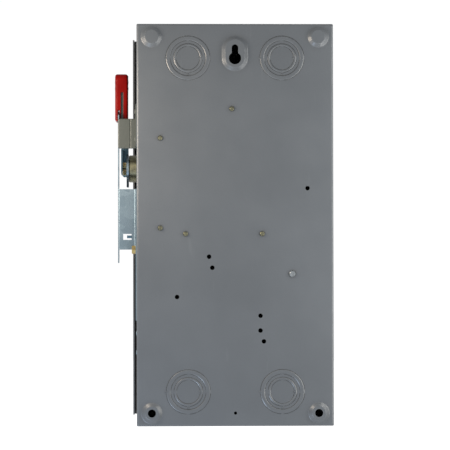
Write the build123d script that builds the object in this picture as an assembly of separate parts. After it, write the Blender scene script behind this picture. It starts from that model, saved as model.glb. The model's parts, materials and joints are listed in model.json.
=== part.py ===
from build123d import *
from math import cos, radians, sin, sqrt
import os

# Wall-mounted sheet-steel disconnect switch with a side handle. Sizes in millimetres.
# Origin: on the wall, midway between the two lower mounting holes. +Z is up, +Y goes into
# the wall, so the cover faces -Y and the handle is on the +X side.

# ---- enclosure ----
box_width = 194.8
box_height = 398.0
box_depth = 150.0
sheet = 1.6
bend_r = 2.0
corner_r = 1.2
lip = 12.0
foot_height = 3.0
foot_base_r = 10.4
foot_top_r = 6.7
foot_edge_r = 1.2
foot_root_r = 1.8
foot_side_inset = 14.9
foot_inset = 13.0
mount_hole_r = 4.0
knockout_x = 46.5
knockout_inset = 34.0
knockout_radii = [22.0, 17.3, 14.4, 11.6]
groove = 0.2               # half the width of the sheared line round a knockout
groove_depth = 0.5
ring_rise = 0.4            # every other ring stands a little proud
ring_slope = 0.8
tab_width = 3.2            # the tabs that hold a ring
tab_bump_r = 1.3
keyhole_drop = 34.4
keyhole_r = 6.1
keyhole_slot_r = 3.25
keyhole_rise = 10.4
boss_width = 25.7
boss_height = 34.5
boss_shift = 0.4
boss_taper = 48
drain_hole_r = 1.6
spare_hole_r = 2.25
# holes left open for another switch: x from the middle, z from the handle's axis
spare_holes = [(-71.7, -22.0), (25.9, -89.6), (22.7, -100.5), (57.6, -129.3),
               (-24.9, -148.0), (-24.8, -162.6), (-28.2, -173.3)]

# ---- cover and hinges ----
cover_sheet = 1.5
cover_gap = 3.6            # side wall to the inside of the cover's side flange
cover_end_gap = 1.5        # end wall to the inside of the cover's end flange
cover_front_gap = 0.4
cover_edge_r = 1.0
flange_depth = 17.5
end_flange_depth = 15.0
flange_notch = 6.2         # the cover's corners are cut out and the flanges stop beside them
notch_corner_r = 1.0
field_margin = 25.0
field_rise = 0.7
hinge_barrel_r = 2.2
hinge_pin_r = 1.2
hinge_length = 42.0
hinge_leaf = 1.2
hinge_inset = 75.0         # box end to a hinge's middle
hinge_offset = 1.6         # cover flange's edge to the hinge's axis
rivet_r = 1.55
rivet_hole_r = 1.6
rivet_head_r = 2.8

# ---- cover screw and interlock ----
cover_screw_inset = 8.4
cover_screw_rise = 47.0
cover_screw_r = 2.5
knob_r = 7.0
knob_height = 7.8
tab_gap = 3.2
tab_half = 14.0
defeat_inset = 30.0
defeat_rise = 40.0
defeat_r = 3.5
hook_inset = 8.6
hook_sheet = 1.6
hook_low = 14.0            # above the handle's axis
hook_high = 30.0
arm_gap = 2.3
arm_sheet = 2.0
arm_forward = 42.0
arm_rise = 26.0
interlock_pin_r = 2.5

# ---- switch ----
pivot_y = -70.0
pivot_rise = 58.0          # box middle to the handle's axis
switch_inset = 86.2        # side wall to the middle pole
pole_pitch = 33.0
base_half_height = 78.0
base_floor = 19.4          # back panel to the floor of the base
post_front = -50.0
post_inner = 38.0
post_end_gap = 4.0
rib = 3.0
rib_front = -96.0
base_screw_r = 2.1
screw_head_r = 4.2
screw_head = 2.6
screw_end_y = -1.2         # the rear screws end just short of the wall
blade_thickness = 3.0
blade_width = 12.0
blade_reach = 38.0
blade_clearance = 0.2
leaf_thickness = 1.2
strap_thickness = 2.0
jaw_start = 28.0
jaw_seat = 41.0
jaw_length = 14.0
rotor_r = 12.0
rotor_journal_r = 5.0
bearing_length = 4.0
lug_size = 16.0
lug_start = 57.0
lug_depth = 18.0
lug_screw_r = 2.95
wire_hole_r = 4.5
chute_sheet = 1.5
chute_gap = 0.5
arc_plate_angles = (22, 36, 50, 64)
shield_sheet = 1.5
shield_slots = 9
ground_inset = 41.0
ground_drop = 106.7
ground_half = 27.0
ground_depth = 11.0
ground_screws = (-21, -12, 12, 21)

# ---- drive ----
handle_throw = 150.0
rotor_throw = 60.0
shaft_r = 7.0
pilot_r = 4.0
running_gap = 0.05
frame_inset = 13.4         # box side to the frame's web
frame_sheet = 2.0
disc_thickness = 3.0
crank_sheet = 3.0
crank_gap = 6.0
crank_radius = 20.0
crank_pin_r = 3.0
slot_clearance = 0.4
spring_wire_r = 0.75
spring_gap = 3.2
spring_turns = 2.6
spring_pitch = 1.62
bushing_r = 13.75
bushing_neck_r = 10.0
bushing_length = 8.2
locknut = 3.0
locknut_flats = 27.0

# ---- handle ----
hub_gap = 0.3
hub_plate_thickness = 2.2
hub_plate_r = 14.2
hub_tail = 18.8
hub_stud_pitch = 7.0
hub_stud_r = 1.6
hub_nut_flats = 5.6
hub_nut_height = 4.0
lever_outer = 16.4         # box side to the lever's outer face
lever_inner = 8.9
lever_web = 2.5
lever_limb = 1.5
tongue_thickness = 2.6
tongue_half_width = 11.0
tongue_reach = 77.0
tongue_end_gap = 5.0
channel_reach = 48.0
grip_width = 13.0
grip_depth = 28.0
grip_start = 47.6
grip_reach = 95.6
grip_wall = 2.6
grip_outer = 22.2
grip_edge_r = 5.0
grip_rivet_heights = (81.5, 88.0)

# ---- guard and upper bracket: x from the box side, z from the handle's axis ----
guard_sheet = 1.2
guard_outer = 19.15
guard_r = 58.0
guard_rim_gap = 0.8
guard_side_gap = 0.4
guard_back_y = -45.0
guard_tail = -95.6
guard_tail_width = 16.0
guard_flange = (-82.2, -21.4)
guard_opening = (-22.0, 26.0)  # the plate is cut away in front of the hub
guard_bend_r = 1.6
guard_corner_r = 1.5
guard_foot = (-90.0, -72.0)
guard_foot_depth = 32.0
guard_slot_x = (5.5, 13.9)
guard_slot_z = (-72.3, -66.45)
guard_bolt_z = -82.5
guard_bolt_depths = (10.0, 24.0)
padlock_reach = 38.0
padlock_hole_r = 4.5
lock_travel = 3.5
lock_sheet = 1.5
lock_bar = 2.8
bolt_flats = 8.0
bolt_height = 3.8
bolt_shank_r = 2.4
bracket_sheet = 1.6
bracket_bend_r = 1.2
bracket_crease = 6.6       # a pressed line down the flange
crease_r = 1.0
bracket_flange = (19.5, 49.6)
bracket_foot = (20.5, 63.5)
bracket_foot_depth = 17.0
bracket_rivets = (28.0, 56.0)
catch_plate_drop = (30.5, 98.0)        # below the box's middle
catch_plate_height = 2.4
catch_button_drops = (111.0, 131.0)
catch_button_r = 3.4

# ---- worked out ----
half_w = box_width / 2
back_y = -foot_height
panel_y = back_y - sheet
front_y = back_y - box_depth
z_low = -foot_inset
z_high = z_low + box_height
z_mid = (z_low + z_high) / 2
wall_in = half_w - sheet
foot_x = half_w - foot_side_inset
flange_x = half_w + cover_gap
cover_x = flange_x + cover_sheet
cover_top = box_height / 2 + cover_end_gap + cover_sheet
cover_y = front_y - cover_front_gap
cover_face = cover_y - cover_sheet
flange_y = cover_face + flange_depth
hinge_x = -(cover_x + hinge_barrel_r)
hinge_y = flange_y + hinge_offset
hinge_heights = (z_low + hinge_inset, z_high - hinge_inset)
cover_screw_spot = (half_w - cover_screw_inset, z_low + cover_screw_rise)
pivot_z = z_mid + pivot_rise
defeat_x = half_w - defeat_inset
defeat_z = pivot_z + defeat_rise
hook_x = half_w - hook_inset
switch_x = half_w - switch_inset
poles = [switch_x + n * pole_pitch for n in (-1, 0, 1)]
base_half_w = 1.5 * pole_pitch + rib / 2
base_low = pivot_z - base_half_height
base_high = pivot_z + base_half_height
base_y = panel_y - base_floor
post_half = pole_pitch / 2 - rib / 2 - 3.0
jaw_gap = blade_thickness / 2 + blade_clearance
strap_y = post_front - strap_thickness
base_screws = [(switch_x - 8.0, pivot_z + 56.8), (switch_x + 37.9, pivot_z - 67.0),
               (switch_x - 37.9, pivot_z - 67.0)]
frame_x = half_w - frame_inset
frame_screws = [(half_w - 23.3, pivot_z + 27.8), (half_w - 23.3, pivot_z - 61.2)]
arm_x = frame_x + arm_gap
arm_pivot = (pivot_y - arm_forward, pivot_z + arm_rise)
ground_spot = (ground_inset - half_w, pivot_z - ground_drop)
rotor_left = switch_x - base_half_w + 1.0
rotor_right = switch_x + base_half_w + 1.5
crank_x = frame_x - crank_gap
hub_x = half_w + bushing_length + hub_gap
hub_face = hub_x + hub_plate_thickness
lever_face = half_w + lever_outer
web_back = pivot_y - grip_depth / 2 + grip_wall
guard_x = half_w + guard_outer
guard_bolts = [(guard_back_y + depth, pivot_z + guard_bolt_z) for depth in guard_bolt_depths]
bracket_spots = [(guard_back_y + bracket_foot_depth / 2, pivot_z + z) for z in bracket_rivets]


def block(x0, x1, y0, y1, z0, z1):
    size = Box(abs(x1 - x0), abs(y1 - y0), abs(z1 - z0))
    return Pos((x0 + x1) / 2, (y0 + y1) / 2, (z0 + z1) / 2) * size


def rod_x(x0, x1, y, z, r):
    return Pos((x0 + x1) / 2, y, z) * Rot(0, 90, 0) * Cylinder(r, abs(x1 - x0))


def rod_y(x, y0, y1, z, r):
    return Pos(x, (y0 + y1) / 2, z) * Rot(90, 0, 0) * Cylinder(r, abs(y1 - y0))


def rod_z(x, y, z0, z1, r):
    return Pos(x, y, (z0 + z1) / 2) * Cylinder(r, abs(z1 - z0))


def hex_x(x0, x1, y, z, flats):
    plane = Plane(origin=(x0, y, z), x_dir=(0, 1, 0), z_dir=(1, 0, 0))
    return extrude(plane * RegularPolygon(flats / sqrt(3), 6), amount=x1 - x0)


def plate_x(x0, x1, outline):
    # a flat plate whose outline is given as (y, z) points
    plane = Plane(origin=(x0, 0, 0), x_dir=(0, 1, 0), z_dir=(1, 0, 0))
    return extrude(plane * make_face(Polyline(*outline, close=True)), amount=x1 - x0)


def back_plane(x, y, z):
    # looks out of the back panel; local +x is +X and local +y is down
    return Plane(origin=(x, y, z), x_dir=(1, 0, 0), z_dir=(0, 1, 0))


def at_pivot(r, angle):
    # a point at a radius from the handle's axis, turned forward from straight up
    a = radians(angle)
    return (pivot_y - r * sin(a), pivot_z + r * cos(a))


def save(shape, name):
    solids = shape.solids() if hasattr(shape, "solids") else shape
    export_step(Compound(list(solids)), f"parts/{name}.step")
    print(name, len(solids))


def merge(pieces):
    result = pieces[0]
    for piece in pieces[1:]:
        result = result + piece
    return result


def rivet_x(x_in, x_out, y, z, height=0.9):
    # heads at both ends of a shank between two faces along X
    low, high = min(x_in, x_out), max(x_in, x_out)
    heads = rod_x(low - height, low, y, z, rivet_head_r) + rod_x(high, high + height, y, z, rivet_head_r)
    return rod_x(low, high, y, z, rivet_r) + heads


def screw_y(x, z, head_y, tip_y, r, head_r, head_height):
    # the head is towards the cover and the tip towards the wall
    top = head_y - head_height
    head = rod_y(x, top, head_y, z, head_r)
    head -= block(x - head_r, x + head_r, top - 1, top + 1.0, z - 0.6, z + 0.6)
    shank = rod_y(x, head_y, tip_y, z, r)
    shank = chamfer(shank.faces().sort_by(Axis.Y)[-1].edges(), 0.6)
    return head + shank


# ---------------------------------------------------------------- enclosure
def soften(shell, y, radius):
    # rounds the pressed outlines that lie in one plane of the back
    margin = bend_r + 0.5
    outlines = []
    for edge in shell.edges():
        box = edge.bounding_box()
        level = abs(box.min.Y - y) < 0.01 and abs(box.max.Y - y) < 0.01
        middle = edge.center()
        if level and abs(middle.X) < half_w - margin and z_low + margin < middle.Z < z_high - margin:
            outlines.append(edge)
    return fillet(outlines, radius)


def knockout(plane):
    grooves = []
    for n, r in enumerate(knockout_radii):
        ring = Circle(r + groove) - Circle(r - groove)
        for turn in (0, 180, 90 + 180 * (n % 2)):
            ring -= Rot(0, 0, turn) * Pos(r, 0) * Rectangle(4 * groove, tab_width)
        grooves.append(extrude(plane * ring, amount=-groove_depth))
    return grooves


def raised_rings(plane):
    pads = []
    for outer, inner in zip(knockout_radii[0::2], knockout_radii[1::2]):
        high, low = outer - groove, inner + groove
        section = Polyline((low, 0, -ring_rise), (high, 0, -ring_rise), (high, 0, 0),
                           (high - ring_slope, 0, ring_rise), (low + ring_slope, 0, ring_rise),
                           (low, 0, 0), close=True)
        pads.append(plane.location * revolve(make_face(section), Axis.Z))
    middle = (knockout_radii[1] + knockout_radii[2]) / 2
    for r, turn in ((knockout_radii[0], 0), (knockout_radii[3], 180), (middle, 90)):
        bump = Cone(tab_bump_r, tab_bump_r / 2, 2 * ring_rise)
        pads.append(plane.location * Rot(0, 0, turn) * Pos(r, 0, 0.3 * ring_rise) * bump)
    return pads


def make_foot(x, z):
    middle = foot_height / 2
    outer = Pos(x, back_y + middle, z) * Rot(-90, 0, 0) * Cone(foot_base_r, foot_top_r, foot_height)
    hollow = Cone(foot_base_r - sheet, foot_top_r - sheet, foot_height)
    dent = Pos(x, panel_y + middle, z) * Rot(-90, 0, 0) * hollow
    return outer, dent


def keyhole_boss():
    z = z_high - keyhole_drop + keyhole_rise / 2 - boss_shift
    outline = SlotOverall(boss_height, boss_width, rotation=90)
    inside = SlotOverall(boss_height - 2 * sheet, boss_width - 2 * sheet, rotation=90)
    outer = extrude(back_plane(0, back_y, z) * outline, amount=foot_height, taper=boss_taper)
    dent = extrude(back_plane(0, panel_y, z) * inside, amount=foot_height, taper=boss_taper)
    return outer, dent


def keyhole_cut():
    low = z_high - keyhole_drop
    high = low + keyhole_rise
    cut = rod_y(0, panel_y - 1, 1.0, low, keyhole_r) + rod_y(0, panel_y - 1, 1.0, high, keyhole_slot_r)
    return cut + block(-keyhole_slot_r, keyhole_slot_r, panel_y - 1, 1.0, low, high)


def back_holes():
    spots = [(x, pivot_z + z, spare_hole_r) for x, z in spare_holes]
    spots += [(x, z, base_screw_r + 0.3) for x, z in base_screws + frame_screws]
    spots += [(x, 0, mount_hole_r) for x in (-foot_x, foot_x)]
    spots += [(0, 0, drain_hole_r), (*ground_spot, 3.1)]
    return [rod_y(x, panel_y - 1, 1.0, z, r) for x, z, r in spots]


def side_holes():
    left, right = (-half_w - 1, -wall_in + 1), (wall_in - 1, half_w + 1)
    cuts = [rod_x(*right, pivot_y, pivot_z, bushing_neck_r)]
    cuts += [rod_x(*right, y, z, bolt_shank_r + 0.1) for y, z in guard_bolts]
    cuts += [rod_x(*right, y, z, rivet_hole_r) for y, z in bracket_spots]
    return cuts + [rod_x(*left, y, z, rivet_hole_r) for height in hinge_heights for y, z in box_rivets(height)]


def make_enclosure():
    shell = block(-half_w, half_w, front_y, back_y, z_low, z_high)
    shell = fillet(shell.edges().filter_by(Axis.Y), corner_r)
    shell = fillet(shell.faces().sort_by(Axis.Y)[-1].edges(), bend_r)
    shell -= block(-wall_in, wall_in, front_y - 1, panel_y, z_low + sheet, z_high - sheet)
    for side in (z_low + sheet, z_high - sheet - lip):
        shell += block(-wall_in, wall_in, front_y, front_y + sheet, side, side + lip)

    cuts = back_holes() + side_holes() + [keyhole_cut()]
    adds = []
    wall_middle = back_y - box_depth / 2
    for x in (-knockout_x, knockout_x):
        for z in (z_low + knockout_inset, z_high - knockout_inset):
            cuts += knockout(back_plane(x, back_y, z))
            adds += raised_rings(back_plane(x, back_y, z))
        cuts += knockout(Plane(origin=(x, wall_middle, z_low), x_dir=(1, 0, 0), z_dir=(0, 0, -1)))
    cuts += knockout(Plane(origin=(0, wall_middle, z_high), x_dir=(1, 0, 0), z_dir=(0, 0, 1)))
    raised = [make_foot(x, z) for x in (-foot_x, foot_x) for z in (0, z_high - foot_inset)]
    raised.append(keyhole_boss())
    for outer, dent in raised:
        shell += outer
    shell = soften(shell, back_y + foot_height, foot_edge_r)
    shell = soften(shell, back_y, foot_root_r)
    for piece in adds:
        shell += piece
    for piece in [dent for outer, dent in raised] + cuts:
        shell -= piece
    return shell


# ---------------------------------------------------------------- cover and hinges
def box_rivets(height):
    return [(hinge_y + 16.0, height + dz) for dz in (-12.0, 12.0)]


def cover_rivets(height):
    return [(flange_y - 10.0, height + dz) for dz in (-4.0, 4.0)]


def make_cover():
    panel = block(-cover_x, cover_x, cover_face, cover_y, z_mid - cover_top, z_mid + cover_top)
    for side in (-1, 1):
        for end in (-1, 1):
            z0, z1 = z_mid + end * (cover_top - flange_notch), z_mid + end * (cover_top + 1)
            panel -= block(side * half_w, side * (cover_x + 1), cover_face - 1, cover_y + 1, z0, z1)
    panel = fillet(panel.edges().filter_by(Axis.Y), notch_corner_r)
    for side in (-1, 1):
        panel += block(side * flange_x, side * cover_x, cover_y, flange_y,
                       z_mid - cover_top + flange_notch, z_mid + cover_top - flange_notch)
        end = z_mid + side * cover_top
        panel += block(-cover_x + flange_notch, cover_x - flange_notch, cover_y, cover_y + end_flange_depth,
                       end - side * cover_sheet, end)
    panel = fillet(list(panel.faces().sort_by(Axis.Y)[0].edges()), cover_edge_r)
    front = Plane(origin=(0, cover_face, z_mid), x_dir=(1, 0, 0), z_dir=(0, -1, 0))
    field = RectangleRounded(2 * (cover_x - field_margin), 2 * (cover_top - field_margin), 10)
    panel += extrude(front * field, amount=field_rise, taper=45)
    panel -= rod_y(cover_screw_spot[0], cover_y - 4, cover_y + 1, cover_screw_spot[1], cover_screw_r + 0.8)
    panel -= rod_y(defeat_x, cover_y - 4, cover_y + 1, defeat_z, defeat_r + running_gap)
    for height in hinge_heights:
        for y, z in cover_rivets(height):
            panel -= rod_x(-cover_x - 1, -flange_x + 1, y, z, rivet_hole_r)
    return panel


def knuckle(z0, z1):
    barrel = rod_z(hinge_x, hinge_y, z0, z1, hinge_barrel_r)
    return barrel, rod_z(hinge_x, hinge_y, z0 - 1, z1 + 1, hinge_pin_r + running_gap)


def make_box_leaf(height):
    half = hinge_length / 2
    gap = hinge_length / 6
    web_y = hinge_y + 1.4
    leaf = block(-half_w - hinge_leaf, -half_w, web_y, hinge_y + 24.0, height - half, height + half)
    for z0, z1 in ((height - half, height - gap), (height + gap, height + half)):
        barrel, bore = knuckle(z0, z1)
        leaf = leaf + block(hinge_x, -half_w, web_y, web_y + hinge_leaf, z0, z1) + barrel - bore
    for y, z in box_rivets(height):
        leaf -= rod_x(-half_w - 3, -half_w + 1, y, z, rivet_hole_r)
    return leaf


def make_cover_leaf(height):
    half = hinge_length / 6 - 0.3
    barrel, bore = knuckle(height - half, height + half)
    plate = block(-cover_x - hinge_leaf, -cover_x, flange_y - 14.5, hinge_y, height - half, height + half)
    leaf = plate + barrel - bore
    for y, z in cover_rivets(height):
        leaf -= rod_x(-cover_x - 3, -cover_x + 1, y, z, rivet_hole_r)
    return leaf


def make_hinge(height, place):
    low, high = height - hinge_length / 2, height + hinge_length / 2
    save(make_box_leaf(height), f"{place}_box_leaf")
    save(make_cover_leaf(height), f"{place}_cover_leaf")
    pin = rod_z(hinge_x, hinge_y, low, high, hinge_pin_r)
    save(pin + rod_z(hinge_x, hinge_y, high, high + 1.2, hinge_barrel_r), f"{place}_hinge_pin")


def make_hinge_rivets():
    spots = [spot for height in hinge_heights for spot in box_rivets(height)]
    fixed = [rivet_x(-wall_in, -half_w - hinge_leaf, y, z) for y, z in spots]
    moving = [rivet_x(-flange_x, -cover_x - hinge_leaf, y, z, height=0.6)
              for height in hinge_heights for y, z in cover_rivets(height)]
    save(merge(fixed), "box_hinge_rivets")
    save(merge(moving), "cover_hinge_rivets")


# ---------------------------------------------------------------- cover screw, interlock
def make_cover_screw():
    x, z = cover_screw_spot
    neck_y = cover_face - 0.2
    head_y = neck_y - knob_height
    head = rod_y(x, head_y, neck_y, z, knob_r)
    head = chamfer(head.faces().sort_by(Axis.Y)[0].edges(), 0.8)
    head -= block(x - knob_r - 1, x + knob_r + 1, head_y - 1, head_y + 1.8, z - 0.7, z + 0.7)
    save(head + rod_y(x, neck_y, cover_y + 9.0, z, cover_screw_r), "cover_screw")
    ring = rod_y(x, cover_y, cover_y + 1.2, z, 2 * cover_screw_r)
    save(ring - rod_y(x, cover_y - 1, cover_y + 2, z, cover_screw_r + 0.3), "cover_screw_retainer")
    tab_y = cover_y + tab_gap
    tab = block(x - 8.0, wall_in, tab_y, tab_y + sheet, z - tab_half, z + tab_half)
    tab += block(wall_in - sheet, wall_in, tab_y, tab_y + 18.0, z - tab_half, z + tab_half)
    save(tab - rod_y(x, tab_y - 1, tab_y + sheet + 1, z, cover_screw_r + 1.7), "cover_screw_tab")


def make_interlock():
    # catch plate standing in from the cover, and a sprung arm beside it
    low, high = pivot_z + hook_low, pivot_z + hook_high
    catch = block(hook_x, hook_x + hook_sheet, cover_y, cover_y + 13.0, low, high)
    catch += block(hook_x, hook_x + 5.5, cover_y, cover_y + hook_sheet, low, high)
    catch -= block(hook_x - 1, hook_x + hook_sheet + 1, cover_y + 6.0, cover_y + 10.0, low + 4, high - 4)
    save(catch, "interlock_catch")
    y, z = arm_pivot
    x1 = arm_x + arm_sheet
    arm = plate_x(arm_x, x1, [(y + 7, z - 7), (y + 7, z + 7), (y - 20, z + 6), (y - 33, z + 3),
                              (y - 33, z - 3), (y - 20, z - 5)])
    arm += plate_x(arm_x, x1, [(y - 5, z - 6), (y + 7, z - 6), (y + 14, z - 16), (y + 9, z - 20)])
    arm -= rod_x(arm_x - 1, x1 + 1, y, z, interlock_pin_r + running_gap)
    save(arm, "interlock_arm")
    head_x = x1 + 0.3
    pin = rod_x(frame_x, head_x, y, z, interlock_pin_r)
    pin += rod_x(head_x, head_x + 1.2, y, z, interlock_pin_r + 1.5)
    save(pin, "interlock_pin")


def make_defeat_screw():
    x, z = defeat_x, defeat_z
    seat_y = cover_face - field_rise - 0.2
    key_y = cover_y + 0.5
    screw = rod_y(x, seat_y - 1.7, seat_y, z, defeat_r + 2)
    screw -= block(x - defeat_r - 3, x + defeat_r + 3, seat_y - 2.7, seat_y - 0.7, z - 0.6, z + 0.6)
    screw += rod_y(x, seat_y, key_y + 1.7, z, defeat_r)
    return screw + block(x - 3.0, x + 12.0, key_y, key_y + 1.7, z - 3.0, z + 3.0)


# ---------------------------------------------------------------- switch base and contacts
def make_base():
    base = block(switch_x - base_half_w, switch_x + base_half_w, base_y, panel_y, base_low, base_high)
    for n in range(4):
        x = switch_x + (n - 1.5) * pole_pitch
        notch_r = rotor_r + 1.0
        slot = rod_x(x - rib, x + rib, pivot_y, pivot_z, notch_r)
        slot += block(x - rib, x + rib, rib_front - 1, pivot_y, pivot_z - notch_r, pivot_z + notch_r)
        base += block(x - rib / 2, x + rib / 2, rib_front, base_y, base_low, base_high) - slot
    for x in poles:
        for side in (-1, 1):
            inner = pivot_z + side * post_inner
            outer = pivot_z + side * (base_half_height - post_end_gap)
            base += block(x - post_half, x + post_half, post_front, base_y, inner, outer)
    for x, z in base_screws:
        base -= rod_y(x, post_front - 1, panel_y + 1, z, base_screw_r + 0.1)
        base -= rod_y(x, post_front - 1, base_y, z, screw_head_r + 0.4)
    return base


def make_jaw(x, side):
    inner = pivot_z + side * jaw_start
    seat = pivot_z + side * jaw_seat
    top = seat + side * jaw_length
    end = pivot_z + side * (base_half_height - post_end_gap - 2.0)
    half = post_half - 4.0
    jaw = block(x - half, x + half, strap_y, post_front, seat, end)
    for hand in (-1, 1):
        near = x + hand * jaw_gap
        far = near + hand * leaf_thickness
        jaw += block(near, far, pivot_y - 9.0, pivot_y + 7.0, inner, top)
        jaw += block(near, far, pivot_y + 7.0, strap_y, seat, top)
    return jaw


def make_lug(x, side):
    low = pivot_z + side * lug_start
    high = low + side * lug_size
    mid = (low + high) / 2
    front = strap_y - lug_depth
    wire_y = strap_y - lug_depth / 2 + 1.0
    lug = block(x - lug_size / 2, x + lug_size / 2, front, strap_y, low, high)
    lug -= rod_z(x, wire_y, min(low, high) - 1, max(low, high) + 1, wire_hole_r)
    lug -= rod_y(x, front - 1, wire_y, mid, lug_screw_r + running_gap)
    screw = rod_y(x, front - 2.5, wire_y - wire_hole_r - 0.3, mid, lug_screw_r)
    screw -= block(x - lug_screw_r, x + lug_screw_r, front - 3, front - 1.2, mid - 0.5, mid + 0.5)
    return lug, screw


def make_contacts():
    for side, name in ((1, "line"), (-1, "load")):
        save(merge([make_jaw(x, side) for x in poles]), f"{name}_jaws")
        lugs = [make_lug(x, side) for x in poles]
        save(merge([lug for lug, screw in lugs]), f"{name}_lugs")
        save(merge([screw for lug, screw in lugs]), f"{name}_lug_screws")


def make_rotor():
    bar = rod_x(rotor_left, rotor_right, pivot_y, pivot_z, rotor_r)
    bar += rod_x(rotor_left - 6.0, rotor_left, pivot_y, pivot_z, rotor_journal_r)
    bar -= rod_x(rotor_right - 14.0, rotor_right + 1, pivot_y, pivot_z, pilot_r + running_gap)
    blades = []
    half = blade_thickness / 2
    for x in poles:
        blade = block(x - half, x + half, pivot_y - blade_width / 2, pivot_y + blade_width / 2,
                      pivot_z - blade_reach, pivot_z + blade_reach)
        bar -= blade
        blades.append(fillet(blade.edges().filter_by(Axis.X), 2.5))
    save(bar, "rotor_bar")
    save(merge(blades), "contact_blades")


def make_bearing():
    # carries the rotor's far end beside the base
    x1 = rotor_left - 1.0
    x0 = x1 - bearing_length
    body = block(x0, x1, pivot_y - 9.0, panel_y, pivot_z - 10.0, pivot_z + 10.0)
    body += block(x0 - 12.0, x1, panel_y - 3.0, panel_y, pivot_z - 16.0, pivot_z + 16.0)
    return body - rod_x(x0 - 1, x1 + 1, pivot_y, pivot_z, rotor_journal_r + running_gap)


def make_arc_chutes():
    tip = pivot_y - 42
    outline = [(post_front, pivot_z + 44), (post_front, pivot_z + 54), (tip, pivot_z + 54), (tip, pivot_z + 12),
               (pivot_y - 27, pivot_z + 12), (pivot_y - 16, pivot_z + 28), (pivot_y + 10, pivot_z + 44)]
    outer = post_half - chute_gap
    inner = outer - chute_sheet
    walls = []
    plates = []
    for x in poles:
        for x0, x1 in ((x - outer, x - inner), (x + inner, x + outer)):
            walls.append(plate_x(x0, x1, outline))
        for angle in arc_plate_angles:
            plate = block(x - inner, x + inner, -0.75, 0.75, 26.0, 50.0)
            plate -= block(x - 3.5, x + 3.5, -2, 2, 25.0, 42.0)
            plates.append(Pos(0, pivot_y, pivot_z) * Rot(angle, 0, 0) * plate)
    save(Compound(walls), "arc_chute_walls")
    save(Compound(plates), "arc_plates")


def make_shield():
    low, high = base_high - 22.0, base_high + 2.0
    x0, x1 = switch_x - base_half_w, switch_x + base_half_w
    face = rib_front - shield_sheet
    shield = block(x0, x1, face, rib_front, low, high)
    shield += block(x0, x1, face, rib_front + 30.0, high - shield_sheet, high)
    for n in range(shield_slots):
        x = x0 + (n + 1) * (x1 - x0) / (shield_slots + 1)
        shield -= block(x - 2, x + 2, face - 1, rib_front + 1, low + 4, low + 10)
    return shield


def make_ground_bar():
    x, z = ground_spot
    face = panel_y - ground_depth
    bar = block(x - 6, x + 6, face, panel_y, z - ground_half, z + ground_half)
    bar -= rod_y(x, face - 1, panel_y + 1, z, 2.9)
    screws = []
    for dz in ground_screws:
        bar -= rod_x(x - 7, x + 7, panel_y - 5.0, z + dz, 2.3)
        bar -= rod_y(x, face - 1, panel_y - 5.0, z + dz, 2.0)
        screws.append(screw_y(x, z + dz, face - 0.2, panel_y - 7.6, 1.95, 3.6, 2.2))
    save(bar, "ground_bar")
    save(merge(screws), "ground_bar_screws")
    save(screw_y(x, z, face, -1.0, 2.8, 5.0, 3.0), "ground_mount_screw")


# ---------------------------------------------------------------- drive
def make_disc():
    # lost motion: the crank pin runs in an arc slot of the rotor's disc
    x0, x1 = rotor_right, rotor_right + disc_thickness
    disc = rod_x(x0, x1, pivot_y, pivot_z, crank_radius + crank_pin_r + 5.0)
    arc = CenterArc((0, 0), crank_radius, 0, handle_throw - rotor_throw)
    slot = SlotArc(arc, 2 * (crank_pin_r + slot_clearance))
    plane = Plane(origin=(x0 - 1, pivot_y, pivot_z), x_dir=(0, 0, 1), z_dir=(1, 0, 0))
    disc -= extrude(plane * slot, amount=disc_thickness + 2)
    return disc - rod_x(x0 - 1, x1 + 1, pivot_y, pivot_z, pilot_r + running_gap)


def make_drive():
    y, z = at_pivot(crank_radius, 0)
    x1 = crank_x + crank_sheet
    crank = plate_x(crank_x, x1, [(pivot_y - 11, pivot_z - 9), (pivot_y + 11, pivot_z - 9),
                                  (y + 6, z + 6), (y - 6, z + 6)])
    crank += rod_x(crank_x, x1, pivot_y, pivot_z, shaft_r + 6.0)
    crank -= rod_x(crank_x - 1, x1 + 1, pivot_y, pivot_z, shaft_r)
    crank -= rod_x(crank_x - 1, x1 + 1, y, z, crank_pin_r)
    save(crank, "drive_crank")
    save(rod_x(rotor_right + 0.4, x1, y, z, crank_pin_r), "crank_pin")
    shaft = rod_x(crank_x - 1.0, hub_x, pivot_y, pivot_z, shaft_r)
    shaft += rod_x(rotor_right - 12.0, crank_x - 1.0, pivot_y, pivot_z, pilot_r)
    for hand in (-1, 1):
        stud_z = pivot_z + hand * hub_stud_pitch / 2
        shaft += rod_x(hub_x, hub_face + hub_nut_height + 0.2, pivot_y, stud_z, hub_stud_r)
    save(shaft, "handle_shaft")


def make_frame():
    foot_edge = frame_screws[0][0] - 7.0
    low, high = frame_screws[1][1] - 7.0, frame_screws[0][1] + 8.0
    x1 = frame_x + frame_sheet
    tip = arm_pivot[0] - 10.0
    web = plate_x(frame_x, x1, [(panel_y, low), (panel_y, high), (pivot_y - 30, high), (tip, high - 6),
                                (tip, pivot_z + 14), (pivot_y - 26, pivot_z - 18), (pivot_y, pivot_z - 24)])
    frame = block(foot_edge, x1, panel_y - frame_sheet, panel_y, low, high) + web
    frame -= rod_x(frame_x - 1, x1 + 1, pivot_y, pivot_z, shaft_r + running_gap)
    frame -= rod_x(frame_x - 1, x1 + 1, *arm_pivot, interlock_pin_r)
    for x, z in frame_screws:
        frame -= rod_y(x, panel_y - frame_sheet - 1, panel_y + 1, z, base_screw_r + 0.1)
    return frame


def make_spring():
    path = Helix(spring_pitch, spring_pitch * spring_turns, shaft_r + spring_gap)
    profile = Plane(origin=path @ 0, z_dir=path % 0) * Circle(spring_wire_r)
    coil = sweep(profile, path=path, is_frenet=True)
    return Pos(frame_x + frame_sheet + spring_wire_r, pivot_y, pivot_z) * Rot(0, 90, 0) * coil


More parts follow.
